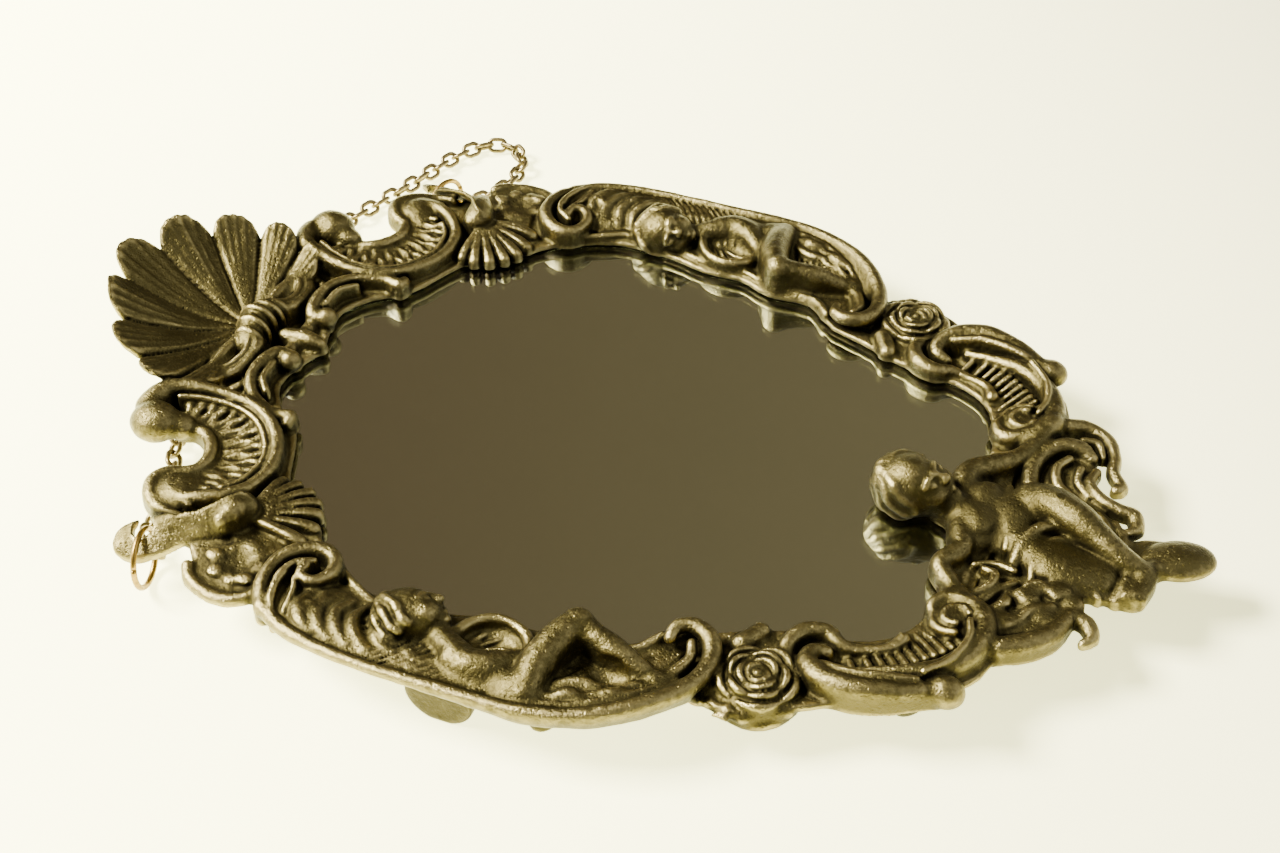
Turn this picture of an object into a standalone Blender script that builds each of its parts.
"""Cast-brass cartouche wall mirror with a hanging chain, lying on its back.

The casting is laid out on a drawing grid: 1 grid unit is GRID metres, x = 0 is the axis of
symmetry, +y points at the shell, and z = 0 is the surface that the back lugs stand on. The
model's origin is at the middle of the outline, on that surface.
"""

import math

import bmesh
import bpy
from mathutils import Matrix, Vector

OBJECT_NAME = "cartouche_wall_mirror"

# Driving dimensions
GRID = 0.0009  # one grid unit in metres, so the 301-unit casting is 271 mm long
GRID_Y = 47.65  # grid y that is added so that the outline's middle is the origin
GAP = 0.0003  # clearance between pieces that touch

FRAME_BACK = 8.8  # underside of the frame's band at the glass
FRAME_FACE = 12.6  # face of the band that the ornament grows out of
RIM_RISE = 3.5  # how much higher the band is at the frame's outer edge
SPREAD = (1.02, -0.4)  # how far a point moves out and down the frame as the band rises by one
GLASS_TOP = 11.2
GLASS_THICK = 2.6
LIP = 4.0  # how far the frame's lip covers the glass
REBATE_WALL = 2.6  # thickness of the raised wall round the back of the rebate
REBATE_BACK = 6.0  # underside of that wall
BOARD_THICK = 2.2
BOARD_BACK = GLASS_TOP - GLASS_THICK - GAP / GRID - BOARD_THICK
VOXEL = 0.0011  # cell size at which the casting's masses are fused
CASTING_SHARE = 0.064  # share of the fused surface's faces that the casting keeps

CLIP_THICK = 0.9
CLIP_WIDTH = 7.0
CLIP_LENGTH = 20.0
SCREW_R = 1.45
SCREW_HEAD_R = 2.9
SCREW_HEAD_THICK = 1.3
RING_R = 7.2  # hanging ring, to the middle of its wire
RING_WIRE_R = 0.75
CHAIN_D = 0.0046  # outer width of the chain's links, metres

# Opening of the frame, half of it, from the top middle to the bottom middle
OPENING = [(0, 39), (8, 42), (17, 43), (25, 38), (33, 29), (44, 24), (53, 19), (59, 9), (68, 0),
           (73, -9), (76, -19), (75, -34), (72, -45), (72, -56), (68, -66), (68, -78), (60, -87),
           (57, -96), (53, -105), (50, -115), (49, -124), (44, -133), (34, -138), (18, -140),
           (0, -141)]

# Outline of the frame, half of it, without the shell and the feet
OUTLINE = [(0, 60), (14, 60), (28, 66), (36, 67), (40, 59), (41, 54), (43, 48), (48, 44),
           (53.4, 44.6), (57.4, 50.6), (61, 52), (66, 48.6), (69, 43), (72, 36), (80, 29.5),
           (85, 24), (86.6, 17), (84, 10.5), (90.4, 4), (94.6, -8), (95.8, -30), (95.6, -55),
           (93.4, -72), (87.5, -86), (79, -96.5), (79.5, -106), (74, -117), (69, -126),
           (65.5, -140), (60.5, -148), (50, -154), (41, -157), (34, -163), (26, -168), (18, -171),
           (10, -175), (0, -177)]

# Rolled edges and scrolls: (x, y, z, radius) along each, on the +x side
SCROLLS = {
    "upper_scroll_rim": [(37, 66, 13.5, 4.2), (31, 65, 14.5, 3.2), (28.5, 58, 15, 2.6),
                         (28.5, 49, 15, 2.5), (31, 40, 15, 2.4), (37, 31.5, 14.5, 2.4),
                         (46, 26.5, 14, 2.4), (55, 27, 14, 2.4), (61, 31, 14, 2.4),
                         (64, 37, 13.5, 2.8), (62, 43, 12.5, 3)],
    "notch_rim": [(41.4, 56.6, 11.6, 2), (41, 50, 12, 2), (45, 45.4, 12, 2), (52, 43.6, 12, 2)],
    "ear_lobe": [(57, 47, 12, 2.8), (62, 49, 12, 2.8), (66.4, 45, 12, 2.6), (68.4, 39, 12, 2.4)],
    "shelf_rim": [(81.5, 29, 10.5, 2.2), (86.5, 22, 9.5, 2.4), (86, 14, 9.5, 2.4), (82, 9, 10.5, 2.4)],
    "small_scroll": [(9, 45, 15, 2.2), (13, 48, 15, 2.2), (20, 47.5, 15, 2), (27, 43, 14, 2),
                     (29, 37, 13.5, 2), (29.5, 32.5, 13, 2.6)],
    "crescent_top": [(69.5, -2, 14, 3.6), (71, 3, 14.5, 3.2), (76, 7, 14, 2.8), (83, 7.5, 13, 2.6),
                     (90, 4, 12.5, 2.6)],
    "crescent_rim": [(88.6, 4, 11.8, 2.5), (93.2, -4, 11.4, 2.4), (95, -14, 11.3, 2.4),
                     (95.4, -32, 11.3, 2.4), (95.2, -50, 11.3, 2.4), (94.4, -63, 11.5, 2.6),
                     (92, -76, 12, 3.2), (85.4, -87.4, 12.6, 3.9), (76.4, -95, 13.2, 3.9),
                     (68, -97.5, 14, 3.4), (61.5, -94, 15, 3.4), (62, -88.5, 15, 3)],
    "rose_ridge": [(61, -113, 13, 2.4), (55, -112.5, 14, 2.4), (50.5, -117, 14, 2.4),
                   (52, -122, 13.5, 2.2)],
    "rose_nub": [(60, -102, 12.5, 2.6), (55, -104, 12.5, 2.6)],
    "lower_blade": [(57, -119, 14, 2.4), (60.5, -117, 14.5, 2.6), (65, -123, 14, 3),
                    (65, -132, 13.5, 3.2), (62, -141, 13, 3.4), (59, -147, 12, 3.8)],
    "lower_scroll_rim": [(60, -125, 13.5, 2.2), (57.5, -137, 13, 2.4), (53, -147, 12.5, 2.8),
                         (43, -152, 12.5, 3), (34, -150.5, 13, 3), (29.5, -144, 14, 2.6),
                         (32, -139, 14, 2.2)],
}

# The putto that lies in each crescent, on the +x side: limbs, then (centre, radii) of the rest
RECLINING_LIMBS = {
    "arm": [(86, -42, 14, 3), (79, -41, 14.5, 2.2), (74.5, -45, 14.5, 2), (73.5, -51, 14, 2),
            (77, -56, 13.5, 2.2), (84, -53, 14, 3.4), (87, -45, 14.5, 3.8)],
    "thigh": [(90, -62, 12.5, 3.8), (80, -62, 14.5, 4.6), (71, -66, 16, 4)],
    "shin": [(71, -67, 16, 3.8), (73, -77, 15, 3.4), (76.5, -87, 13.5, 3)],
}
RECLINING_MASSES = [((81, -29.5, 14.5), (6.8, 8.2, 6)), ((88, -52, 12.5), (6, 9.5, 4.5))]

# The putto that stands at the bottom
STANDING_LIMBS = {
    "left_arm": [(-13, -138, 15, 3.2), (-21, -140, 15, 3), (-27, -143, 15, 2.6)],
    "right_arm": [(13, -137, 15, 3.4), (19, -142, 14.5, 3.2), (28, -148, 14, 2.8),
                  (37, -152, 13.5, 2.6)],
    "neck": [(0, -141, 13, 4.4), (0.5, -133, 15.5, 4)],
    "right_leg": [(8, -156, 14, 5), (2, -164, 14, 4.6), (-3.5, -172, 13, 4), (-8, -180, 12, 3.6)],
    "left_leg": [(-8, -157, 13, 5), (-15, -166, 12.5, 5), (-17, -176, 12, 4.4)],
    "left_foot": [(-17, -181, 11.5, 3.6), (-8, -183, 11.5, 3.2)],
    "ankle": [(-8, -180, 11.5, 3.2), (0, -187.5, 10.5, 2.8)],
    "sash": [(12, -154, 12, 2.6), (20, -151.5, 12.5, 2.6), (28, -154, 12.5, 2.8), (31, -161, 11.5, 2.6)],
    "sash_end": [(11, -163, 11, 2.6), (13.5, -170, 10.5, 2.6), (13, -176, 10, 2.4), (9, -177.5, 10, 2.4)],
    "right_tail": [(37, -157, 11, 2.8), (38, -163, 10.5, 2.6), (33, -168, 10, 2.6), (23, -171, 9.5, 2.4)],
    "left_tail": [(-41, -156, 11, 3), (-37, -162.5, 10.5, 3), (-29, -167.5, 10, 2.6),
                  (-29, -172, 9.5, 2.4)],
}
STANDING_MASSES = [((0.5, -125.5, 18.2), (8.6, 9.6, 6.6)), ((0.5, -148, 13.4), (13, 11, 5)),
                   ((0, -165, 10.5), (15, 13, 4))]
STANDING_BALL = ((1.5, -190.6, 10.6), (5.8, 8.6, 3.0))  # the drop under its foot
BALL_HEADING = 30.0

# Masses on both sides, on the +x side: (centre, radii)
SIDE_MASSES = [((42, 62, 13), (6.6, 7, 6)), ((68, -108, 11.5), (9.5, 9.5, 5.5)),
               ((64.4, 25, 15.4), (4.2, 4.2, 4.2)),
               ((37, -145, 12), (6.5, 6.5, 4.5))]

# Palmette: root, and its fingers' tips
PALMETTE_ROOT = (66, 22, 13)
PALMETTE_TIPS = [(50.4, 22), (50.4, 17.4), (52.4, 12.4), (56.4, 9), (61.4, 7.4), (66.4, 8)]

# Leaf that carries the hanging ring, on the +x side: (x, y, z, half width) along it
LEAF = [(66.5, 22, 20, 3.4), (70.5, 24, 19.3, 4.6), (73.8, 29.4, 18, 4.4), (76.8, 34.8, 16.4, 4.4),
        (79.3, 40.4, 14.3, 4.9), (80.9, 44, 12.9, 4.8), (82.2, 46.8, 11.8, 3.4)]
LEAF_THICK = 2.0
LEAF_SLOPE = 0.5  # how much lower its outer edge is, per unit of its width
LEAF_HOLE = (78.6, 43.95)
LEAF_HOLE_R = 2.4
RING_CENTRE = (81.7, 43.1, 8.2)
RING_PIVOT_Z = 14.6  # height at which the ring's wire goes through the leaf

# Bow and bars that tie the shell to the frame
SHELL_KNOT = {
    "bow": [(-22, 56, 13, 2.6), (-12, 56, 15, 4), (-5, 58, 16, 4), (0, 58, 16.5, 4.6),
            (5, 58, 16, 4), (12, 56, 15, 4), (22, 56, 13, 2.6)],
    "nub": [(0, 54, 13, 2.6), (0, 42, 14, 2.8)],
    "bar": [(-12, 46, 13, 2.4), (12, 46, 13, 2.4)],
}
SHELL_FOOT_Z = (9.4, 13.4)
SHELL_FOOT = [(-30, 52), (-30, 68), (-12, 78), (12, 78), (30, 68), (30, 52)]

# Shell: (angle from +y in degrees, reach from the hinge, height of the rim)
SHELL_HINGE = (0.0, 62.0, 12.5)
SHELL_RIM = [(0, 38.8, 31.8), (27, 35.8, 32.2), (54, 36.6, 26), (77, 36.8, 22), (97, 32, 18)]
SHELL_THICK = 2.6

# Cast lugs on the back: half-round tabs (x, y, heading), and round posts (x, y), both on +x
TABS = [(93.5, -42, 0.0), (52, -141, -52.0)]
POSTS = [(86.5, -63.5), (64, 33)]
TAB_R = 8.5
TAB_THICK = 3.0
TAB_CENTRE_Z = 8.0  # a little less than the radius, so that its foot is flat
TAB_TOP = 12.6
TAB_SIDES = 32
POST_R = 3.2
BOSS_R = 3.5
LUG_TOP = 12.0

# Turn clips on the back, on +x: screw (x, y) and the direction that points over the board
CLIPS = [(71.5, 8.5, 213.0), (70, -95, 150.0)]

# The chain's route, from the right-hand ring round to the left-hand one
CHAIN_Z = 2.7
CHAIN_ROUTE = [(90.2, 40.6), (94, 38.6), (99, 35.6), (105, 33.5), (112.5, 33), (119.5, 34.5),
               (125, 39), (126, 46), (121.5, 52), (113, 56.5), (103, 59.5), (93, 62.5), (83, 66),
               (73, 69.5), (62, 73), (50, 75.5), (36, 77), (20, 77), (4, 75.5), (-12, 72.5),
               (-26, 68.5), (-38, 63.5), (-48, 58.5), (-58, 55.5), (-65.5, 53.2), (-71, 50.4)]


def at(x, y, z=0.0):
    """A point on the drawing grid, in metres."""
    return Vector((x * GRID, (y + GRID_Y) * GRID, z * GRID))


def clear_scene():
    for found in list(bpy.data.objects):
        bpy.data.objects.remove(found, do_unlink=True)


def make_collection(name):
    collection = bpy.data.collections.new(name)
    bpy.context.scene.collection.children.link(collection)
    return collection


def make_material(name, color, roughness, metallic):
    material = bpy.data.materials.new(name)
    material.use_nodes = True
    shader = material.node_tree.nodes["Principled BSDF"]
    shader.inputs["Base Color"].default_value = (*color, 1.0)
    shader.inputs["Roughness"].default_value = roughness
    shader.inputs["Metallic"].default_value = metallic
    return material


def add_object(name, data, collection, material=None):
    added = bpy.data.objects.new(name, data)
    collection.objects.link(added)
    if material:
        data.materials.append(material)
    return added


def move_to(obj, collection):
    """Takes the object out of the collections that it is in and puts it into another."""
    for owner in obj.users_collection:
        owner.objects.unlink(obj)
    collection.objects.link(obj)


def ease(t):
    t = min(max(t, 0.0), 1.0)
    return t * t * (3 - 2 * t)


def rise_at(x, y):
    """How much the band has risen at a grid point, from its glass toward its outer edge."""
    out = math.hypot(x / 74, (y + 48) / 92)
    upper = 1.2 + (RIM_RISE - 1.2) * ease((out - 1) / 0.33)
    if y > -60:
        upper *= ease(abs(x) / 22)
    lower = (RIM_RISE - 0.1) * ease((out - 1.08) / 0.2)
    share = ease((y + 100) / 40)
    return lower + (upper - lower) * share, share


def dished(row):
    """An (x, y, z, ...) row moved up and outward as the band under it rises."""
    rise, share = rise_at(row[0], row[1])
    side = (row[0] > 0) - (row[0] < 0)
    return (row[0] + SPREAD[0] * rise * share * side, row[1] + SPREAD[1] * rise * share,
            row[2] + rise, *row[3:])


def mesh_of(obj, merge=1e-6):
    """The object's evaluated shape as a welded mesh in world space; the object is removed."""
    bpy.context.view_layer.update()
    depsgraph = bpy.context.evaluated_depsgraph_get()
    mesh = bpy.data.meshes.new_from_object(obj.evaluated_get(depsgraph))
    mesh.transform(obj.matrix_world)
    work = bmesh.new()
    work.from_mesh(mesh)
    bmesh.ops.remove_doubles(work, verts=work.verts, dist=merge)
    bmesh.ops.recalc_face_normals(work, faces=work.faces)
    work.to_mesh(mesh)
    work.free()
    bpy.data.objects.remove(obj, do_unlink=True)
    return mesh


def smooth_line(points, step):
    """Points every step or so along a Catmull-Rom curve through the given rows of numbers."""
    rows = [Vector(row) for row in points]
    rows = [rows[0] * 2 - rows[1], *rows, rows[-1] * 2 - rows[-2]]
    line = []
    for a, b, c, d in zip(rows, rows[1:], rows[2:], rows[3:]):
        count = max(1, round((c - b).length / step))
        for i in range(count):
            t = i / count
            line.append(0.5 * (2 * b + (c - a) * t + (2 * a - 5 * b + 4 * c - d) * t ** 2
                               + (3 * b - a - 3 * c + d) * t ** 3))
    line.append(rows[-2])
    return line


def closed_outline(half, step):
    """The closed outline that a half and its mirror image make, as (x, y) grid points."""
    side = smooth_line([(x, y, 0.0) for x, y in half], step)
    side[0].x = side[-1].x = 0.0
    left = [Vector((-p.x, p.y, 0.0)) for p in side[-2:0:-1]]
    return side + left


def offset_outline(outline, distance):
    """The outline moved outwards by distance, in grid units."""
    moved = []
    for before, point, after in zip(outline[-1:] + outline, outline, outline[1:] + outline[:1]):
        along = (after - before).normalized()
        moved.append(point + Vector((-along.y, along.x, 0.0)) * distance)
    return moved


def plate(name, outlines, low, high, collection, material=None):
    """A flat piece with the given outlines, the first outside and the others holes in it."""
    curve = bpy.data.curves.new(name, "CURVE")
    curve.dimensions = "2D"
    curve.fill_mode = "BOTH"
    curve.extrude = (high - low) * GRID / 2
    for outline in outlines:
        spline = curve.splines.new("POLY")
        spline.points.add(len(outline) - 1)
        for spot, point in zip(spline.points, outline):
            spot.co = (*at(point.x, point.y).xy, 0.0, 1.0)
        spline.use_cyclic_u = True
    flat = add_object(name, curve, collection)
    flat.location.z = (low + high) / 2 * GRID
    mesh = mesh_of(flat)
    mesh.name = name
    return add_object(name, mesh, collection, material)


def tube(name, line, collection, sides=2):
    """A round bar along a line of metre points with a radius each: [(point, radius), ...]."""
    curve = bpy.data.curves.new(name, "CURVE")
    curve.dimensions = "3D"
    curve.bevel_depth = 1.0
    curve.bevel_resolution = sides
    curve.use_fill_caps = True
    spline = curve.splines.new("POLY")
    spline.points.add(len(line) - 1)
    for spot, (point, radius) in zip(spline.points, line):
        spot.co = (*point, 1.0)
        spot.radius = radius
    return add_object(name, curve, collection)


def grid_tube(name, rows, collection, mirrored=False):
    """A round bar through (x, y, z, radius) rows in grid units."""
    side = -1 if mirrored else 1
    line = [(at(side * row[0], row[1], row[2]), row[3] * GRID) for row in smooth_line(rows, 3.0)]
    return tube(name, line, collection)


def ellipsoid(name, centre, radii, collection, mirrored=False, heading=0.0):
    side = -1 if mirrored else 1
    bpy.ops.mesh.primitive_uv_sphere_add(segments=20, ring_count=12, radius=GRID)
    ball = bpy.context.object
    ball.name = name
    ball.location = at(side * centre[0], centre[1], centre[2])
    ball.rotation_euler.z = math.radians(heading)
    ball.scale = radii
    move_to(ball, collection)
    return ball


def cylinder(name, x, y, low, high, radius, collection, sides=24):
    """An upright cylinder, sizes in grid units."""
    bpy.ops.mesh.primitive_cylinder_add(vertices=sides, radius=radius * GRID,
                                        depth=(high - low) * GRID,
                                        location=at(x, y, (low + high) / 2))
    made = bpy.context.object
    made.name = name
    move_to(made, collection)
    return made


def shell_rim(angle):
    """Reach and height of the shell's rim at an angle from +y, in degrees."""
    rows = [(-a, r, h) for a, r, h in SHELL_RIM[:0:-1]] + SHELL_RIM
    for (a0, r0, h0), (a1, r1, h1) in zip(rows, rows[1:]):
        if a0 <= angle <= a1:
            t = (angle - a0) / (a1 - a0)
            bulge = 1 - 0.10 * math.sin(math.pi * t) ** 2
            return (r0 + (r1 - r0) * t) * bulge, h0 + (h1 - h0) * t
    return rows[-1][1:]


def shell_dish(collection):
    """The scallop shell: a fan of lobes that rises from the hinge to its rim."""
    last = SHELL_RIM[-1][0]
    across, along = 48, 9
    sheet = bmesh.new()
    rows = []
    for i in range(across + 1):
        angle = -last + 2 * last * i / across
        reach, height = shell_rim(angle)
        turn = math.radians(angle)
        row = []
        for j in range(along + 1):
            v = 0.12 + 0.88 * j / along
            rise = SHELL_HINGE[2] + (height - SHELL_HINGE[2]) * v ** 1.9
            rise += 0.9 * v * math.cos(math.radians(angle) * 360 / 27)
            spot = at(SHELL_HINGE[0] + reach * v * math.sin(turn),
                      SHELL_HINGE[1] + reach * v * math.cos(turn), rise)
            row.append(sheet.verts.new(spot))
        rows.append(row)
    for left, right in zip(rows, rows[1:]):
        for j in range(along):
            sheet.faces.new((left[j], left[j + 1], right[j + 1], right[j]))
    mesh = bpy.data.meshes.new("shell")
    bmesh.ops.recalc_face_normals(sheet, faces=sheet.faces)
    sheet.to_mesh(mesh)
    sheet.free()
    dish = add_object("shell", mesh, collection)
    thicken = dish.modifiers.new("thickness", "SOLIDIFY")
    thicken.thickness = SHELL_THICK * GRID
    thicken.offset = 0.0
    return dish


def leaf(collection, mirrored):
    """The thin leaf that the hanging ring goes through, sloping down to its tip and outer edge."""
    side = -1 if mirrored else 1
    rows = smooth_line(LEAF, 2.0)
    slab = bmesh.new()
    rings = []
    for before, row, after in zip(rows[:1] + rows, rows, rows[1:] + rows[-1:]):
        along = Vector((after[0] - before[0], after[1] - before[1])).normalized()
        ring = []
        for lateral, up in ((-1, -1), (1, -1), (1, 1), (-1, 1)):
            x = row[0] - along.y * lateral * row[3]
            y = row[1] + along.x * lateral * row[3]
            z = row[2] + lateral * LEAF_SLOPE * row[3] + up * LEAF_THICK / 2
            ring.append(slab.verts.new(at(side * x, y, z)))
        rings.append(ring)
    for a, b in zip(rings, rings[1:]):
        for i in range(4):
            slab.faces.new((a[i], a[(i + 1) % 4], b[(i + 1) % 4], b[i]))
    slab.faces.new(rings[0])
    slab.faces.new(rings[-1][::-1])
    bmesh.ops.recalc_face_normals(slab, faces=slab.faces)
    mesh = bpy.data.meshes.new("leaf")
    slab.to_mesh(mesh)
    slab.free()
    return add_object("leaf", mesh, collection)


def band(outline, opening, collection):
    """The frame's band, which rises from the glass to its outer edge."""
    shape = plate("band", [outline, opening], FRAME_BACK, FRAME_FACE, collection)
    for vertex in shape.data.vertices:
        x, y = vertex.co.x / GRID, vertex.co.y / GRID - GRID_Y
        x, y, z = dished((x, y, vertex.co.z / GRID))
        vertex.co = at(x, y, z)


def finger(tip):
    """Rows of one finger of the palmette, from its root to its tip."""
    x, y, z = PALMETTE_ROOT
    return [(x, y, z, 1.6), ((x + tip[0]) / 2, (y + tip[1]) / 2, 13.4, 2.0), (*tip, 12.4, 2.2)]


def casting_masses(collection):
    """Every mass of the casting, as closed shapes that run into each other."""
    opening = closed_outline(OPENING, 6.0)
    band(closed_outline(OUTLINE, 5.0), opening, collection)
    wall = offset_outline(opening, LIP + REBATE_WALL)
    plate("rebate_wall", [wall, opening], REBATE_BACK, FRAME_FACE, collection)
    foot = [Vector((x, y, 0)) for x, y in SHELL_FOOT]
    plate("shell_foot", [foot], *SHELL_FOOT_Z, collection)
    shell_dish(collection)
    for mirrored in (False, True):
        for rows in [*SCROLLS.values(), *RECLINING_LIMBS.values(), *map(finger, PALMETTE_TIPS)]:
            grid_tube("bar", [dished(row) for row in rows], collection, mirrored)
        for centre, radii in SIDE_MASSES + RECLINING_MASSES:
            ellipsoid("mass", dished(centre), radii, collection, mirrored)
        leaf(collection, mirrored)
    for rows in [*STANDING_LIMBS.values(), *SHELL_KNOT.values()]:
        grid_tube("bar", rows, collection)
    for centre, radii in STANDING_MASSES:
        ellipsoid("mass", centre, radii, collection)
    ellipsoid("foot", *STANDING_BALL, collection, heading=BALL_HEADING)


def tab_shape(sign, x, y, heading, collection):
    """A half-round tab that stands on edge: a disc that is cut level at its top."""
    outline = []
    for i in range(TAB_SIDES):
        turn = 2 * math.pi * i / TAB_SIDES
        height = min(TAB_CENTRE_Z + TAB_R * math.sin(turn), TAB_TOP)
        outline.append((TAB_R * math.cos(turn), height))
    shape = bmesh.new()
    faces = [[shape.verts.new(((thick * TAB_THICK / 2) * GRID, along * GRID, height * GRID))
              for along, height in outline] for thick in (-1, 1)]
    for i, vertex in enumerate(faces[0]):
        j = (i + 1) % TAB_SIDES
        shape.faces.new((vertex, faces[0][j], faces[1][j], faces[1][i]))
    shape.faces.new(faces[0])
    shape.faces.new(faces[1])
    bmesh.ops.recalc_face_normals(shape, faces=shape.faces)
    mesh = bpy.data.meshes.new("tab")
    shape.to_mesh(mesh)
    shape.free()
    mesh.transform(Matrix.Translation(at(sign * x, y))
                   @ Matrix.Rotation(math.radians(sign * heading), 4, "Z"))
    return add_object("tab", mesh, collection)


def lug_shapes(collection):
    """The tabs and posts that the casting stands on, and the bosses that the screws go into."""
    shapes = []
    for sign in (-1, 1):
        shapes += [tab_shape(sign, x, y, heading, collection) for x, y, heading in TABS]
        shapes += [cylinder("post", sign * x, y, -1.0, LUG_TOP, POST_R, collection)
                   for x, y in POSTS]
        shapes += [cylinder("boss", sign * x, y, BOARD_BACK, LUG_TOP, BOSS_R, collection)
                   for x, y, _ in CLIPS]
    return shapes


def join(objects, name, collection):
    """One object holding the meshes of several, in world space."""
    whole = bmesh.new()
    for item in objects:
        mesh = mesh_of(item)
        whole.from_mesh(mesh)
        bpy.data.meshes.remove(mesh)
    mesh = bpy.data.meshes.new(name)
    whole.to_mesh(mesh)
    whole.free()
    return add_object(name, mesh, collection)


def as_cutter(obj):
    obj.hide_render = True
    obj.display_type = "WIRE"
    return obj


def boolean(target, tool, operation):
    cut = target.modifiers.new(operation.lower(), "BOOLEAN")
    cut.operation = operation
    cut.object = tool
    cut.solver = "EXACT"
    cut.use_self = operation == "UNION"
    return cut


def screw_hole_xy():
    return [(sign * x, y, sign, heading) for sign in (1, -1) for x, y, heading in CLIPS]


def build_casting(parts, cutters, brass):
    """The cast frame: fused masses, with the glass rebate, ring holes and lugs worked into it."""
    masses = make_collection("masses")
    casting_masses(masses)
    frame = join(list(masses.objects), "cast_frame", parts)
    bpy.data.collections.remove(masses)
    frame.data.materials.append(brass)

    fuse = frame.modifiers.new("fuse", "REMESH")
    fuse.mode = "VOXEL"
    fuse.voxel_size = VOXEL
    thin = frame.modifiers.new("thin", "DECIMATE")
    thin.ratio = CASTING_SHARE

    lugs = join(lug_shapes(cutters), "lugs", cutters)
    boolean(frame, as_cutter(lugs), "UNION")

    glass = offset_outline(closed_outline(OPENING, 6.0), LIP)
    gap = GAP / GRID
    rebate = plate("rebate", [offset_outline(glass, gap)], -5.0, GLASS_TOP + gap, cutters)
    boolean(frame, as_cutter(rebate), "DIFFERENCE")
    holes = [cylinder("ring_hole", sign * LEAF_HOLE[0], LEAF_HOLE[1], 9.0, 20.0, LEAF_HOLE_R,
                      cutters, 20) for sign in (1, -1)]
    holes += [cylinder("screw_hole", x, y, -1.0, 8.0, SCREW_R + gap, cutters, 20)
              for x, y, _, _ in screw_hole_xy()]
    boolean(frame, as_cutter(join(holes, "holes", cutters)), "DIFFERENCE")
    bpy.ops.mesh.primitive_cube_add(size=1.0, location=(0.0, 0.0, -0.01))
    floor = bpy.context.object
    floor.name = "floor"
    floor.scale = (0.4, 0.5, 0.02)
    move_to(floor, cutters)
    boolean(frame, as_cutter(floor), "DIFFERENCE")
    return frame


def build_glass_and_board(parts, glass_material, board_material):
    glass = offset_outline(closed_outline(OPENING, 6.0), LIP)
    plate("mirror_glass", [glass], GLASS_TOP - GLASS_THICK, GLASS_TOP, parts, glass_material)
    board_top = GLASS_TOP - GLASS_THICK - GAP / GRID
    plate("backing_board", [offset_outline(glass, -0.6)], board_top - BOARD_THICK, board_top,
          parts, board_material)


def build_clips(parts, cutters, brass, steel):
    """Turn clips that hold the board in, each on its own screw."""
    gap = GAP / GRID
    top = BOARD_BACK - gap
    for number, (x, y, sign, heading) in enumerate(screw_hole_xy(), 1):
        pivot = at(x, y, top - CLIP_THICK / 2)
        turn = math.radians(heading if sign > 0 else 180 - heading)
        bpy.ops.mesh.primitive_cube_add(size=1.0)
        clip = bpy.context.object
        clip.name = f"turn_clip_{number}"
        clip.data.transform(Matrix.Diagonal((CLIP_LENGTH * GRID, CLIP_WIDTH * GRID,
                                             CLIP_THICK * GRID, 1)))
        clip.data.transform(Matrix.Translation(((CLIP_LENGTH / 2 - CLIP_WIDTH / 2) * GRID, 0, 0)))
        clip.data.materials.append(brass)
        clip.location = pivot
        clip.rotation_euler.z = turn
        move_to(clip, parts)
        bevel = clip.modifiers.new("rounded_ends", "BEVEL")
        bevel.width = CLIP_WIDTH * 0.42 * GRID
        bevel.segments = 5
        bevel.affect = "EDGES"
        bevel.limit_method = "WEIGHT"
        weights = clip.data.attributes.new("bevel_weight_edge", "FLOAT", "EDGE")
        for edge in clip.data.edges:
            a, b = (clip.data.vertices[i].co for i in edge.vertices)
            weights.data[edge.index].value = 1.0 if abs(a.z - b.z) > 1e-6 else 0.0
        hole = cylinder("clip_hole", x, y, -1.0, 6.0, SCREW_R + 0.08, cutters, 20)
        boolean(clip, as_cutter(hole), "DIFFERENCE")

        shank = cylinder(f"clip_screw_{number}", x, y, top - CLIP_THICK - gap - SCREW_HEAD_THICK / 2,
                         7.0, SCREW_R, parts, 20)
        head = cylinder("screw_head", x, y, top - CLIP_THICK - gap - SCREW_HEAD_THICK,
                        top - CLIP_THICK - gap, SCREW_HEAD_R, cutters, 20)
        shank.data.materials.append(steel)
        boolean(shank, as_cutter(head), "UNION")


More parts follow.
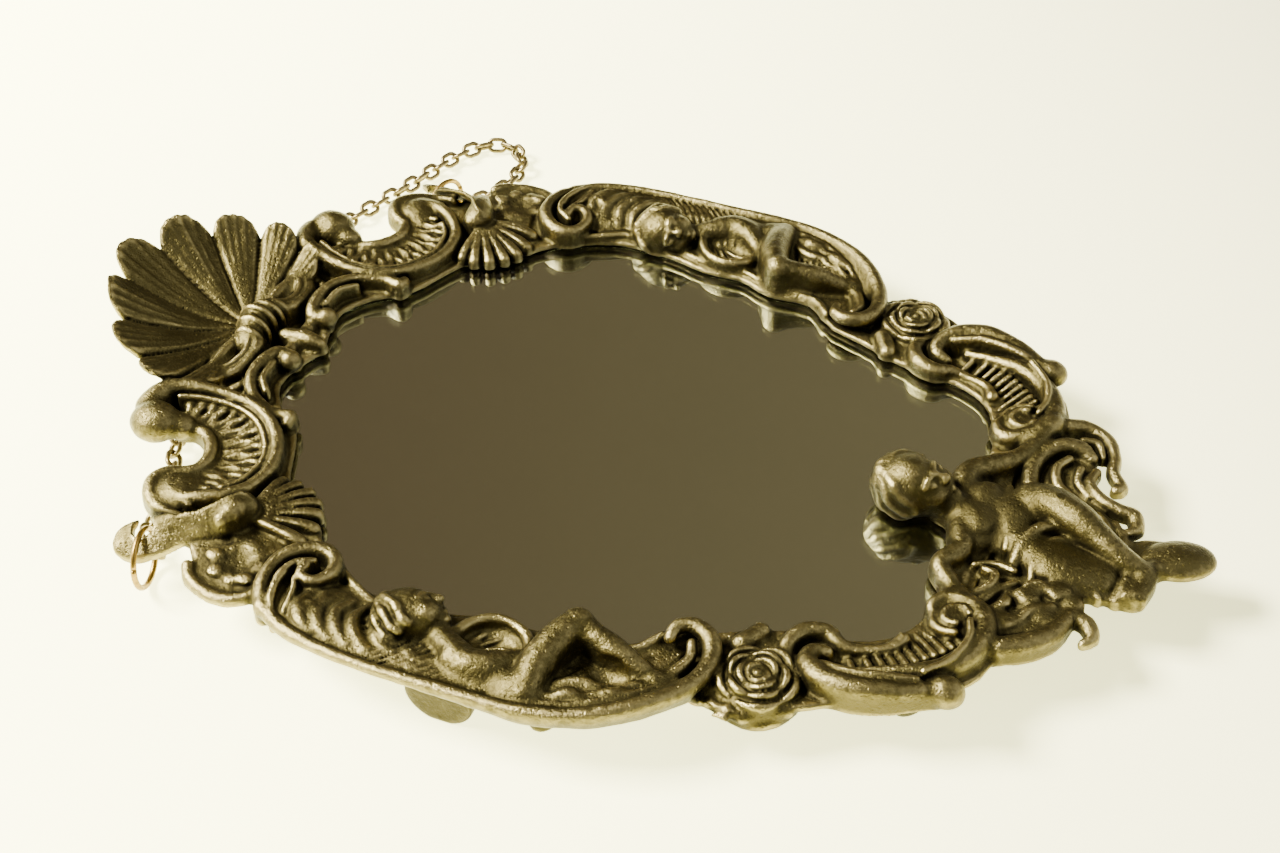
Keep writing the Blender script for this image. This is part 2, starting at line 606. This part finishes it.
def build_rings(parts, brass):
    """The two open hanging rings, each with its origin on the line that it swings about."""
    for sign, name in ((1, "hanging_ring_right"), (-1, "hanging_ring_left")):
        bpy.ops.mesh.primitive_torus_add(major_segments=40, minor_segments=8,
                                         major_radius=RING_R * GRID, minor_radius=RING_WIRE_R * GRID)
        ring = bpy.context.object
        ring.name = name
        ring.data.materials.append(brass)
        axis = ring_axis(sign)
        centre = at(sign * RING_CENTRE[0], RING_CENTRE[1], RING_CENTRE[2])
        pivot = at(sign * LEAF_HOLE[0], LEAF_HOLE[1], RING_PIVOT_Z)
        stand = Matrix((axis.to_4d(), Vector((0, 0, 1, 0)), axis.cross(Vector((0, 0, 1))).to_4d(),
                        (0, 0, 0, 1))).transposed()
        stand = stand.to_3x3().to_4x4()
        ring.data.transform(stand)
        ring.data.transform(Matrix.Translation(centre - pivot))
        ring.location = pivot
        move_to(ring, parts)


def ring_axis(sign):
    """Direction of the level line through its hole that a ring swings about."""
    dx = RING_CENTRE[0] - LEAF_HOLE[0]
    dy = RING_CENTRE[1] - LEAF_HOLE[1]
    return Vector((sign * dx, dy, 0.0)).normalized()


def build_chain(parts, brass):
    rows = smooth_line([(x, y, CHAIN_Z) for x, y in CHAIN_ROUTE], 4.2)
    line = [(at(*row), CHAIN_D / 2) for row in rows]
    chain = tube("hanging_chain", line, parts)
    chain.data.materials.append(brass)


def shade(parts):
    for item in parts.objects:
        if item.type == "MESH":
            item.data.shade_smooth()
            item.data.set_sharp_from_angle(angle=math.radians(35))


def main():
    clear_scene()
    parts = make_collection(OBJECT_NAME)
    cutters = make_collection("cutters")
    aged_brass = make_material("aged_brass", (0.24, 0.19, 0.09), 0.42, 1.0)
    bright_brass = make_material("bright_brass", (0.72, 0.52, 0.24), 0.28, 1.0)
    chain_brass = make_material("chain_brass", (0.42, 0.34, 0.19), 0.38, 1.0)
    steel = make_material("screw_steel", (0.42, 0.41, 0.39), 0.4, 1.0)
    mirror = make_material("silvered_glass", (0.72, 0.73, 0.70), 0.03, 1.0)
    board = make_material("fibreboard", (0.24, 0.15, 0.08), 0.85, 0.0)

    build_casting(parts, cutters, aged_brass)
    build_glass_and_board(parts, mirror, board)
    build_clips(parts, cutters, bright_brass, steel)
    build_rings(parts, bright_brass)
    build_chain(parts, chain_brass)
    shade(parts)


main()
